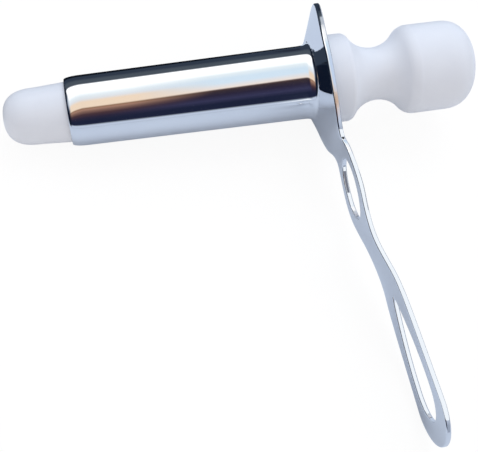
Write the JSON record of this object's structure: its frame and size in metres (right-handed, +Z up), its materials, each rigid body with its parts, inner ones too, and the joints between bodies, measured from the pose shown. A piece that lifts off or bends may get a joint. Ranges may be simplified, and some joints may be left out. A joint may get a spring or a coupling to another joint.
{
  "type": "proctoscope",
  "caption": "Polished metal proctoscope: a tapered tube brazed into a dished oval flange with a looped, cranked flat handle, and a white plastic obturator that slides out of the tube.",
  "frame": {"origin": "middle of the bounding box's underside, where the instrument lies on the ground", "axes": "+Z up; +X along the tube from its lip towards the obturator's knob, seen from above; +Y from the handle's end towards the flange's crown"},
  "size_m": [0.154, 0.149, 0.0357],
  "materials": {
    "polished_metal": "polished mirror plate with faint wiping scratches",
    "white_plastic": "smooth white, slightly translucent, with a soft sheen"
  },
  "bodies": {
    "speculum": {"barrel_tube": "polished_metal", "flange_handle": "polished_metal"},
    "obturator_body": {"obturator": "white_plastic"}
  },
  "joints": [
    {"name": "obturator_slide", "type": "slide", "parent": "speculum", "child": "obturator_body", "axis": [0.9965, 0, 0.084], "range_m": [0, 0.12]}
  ]
}
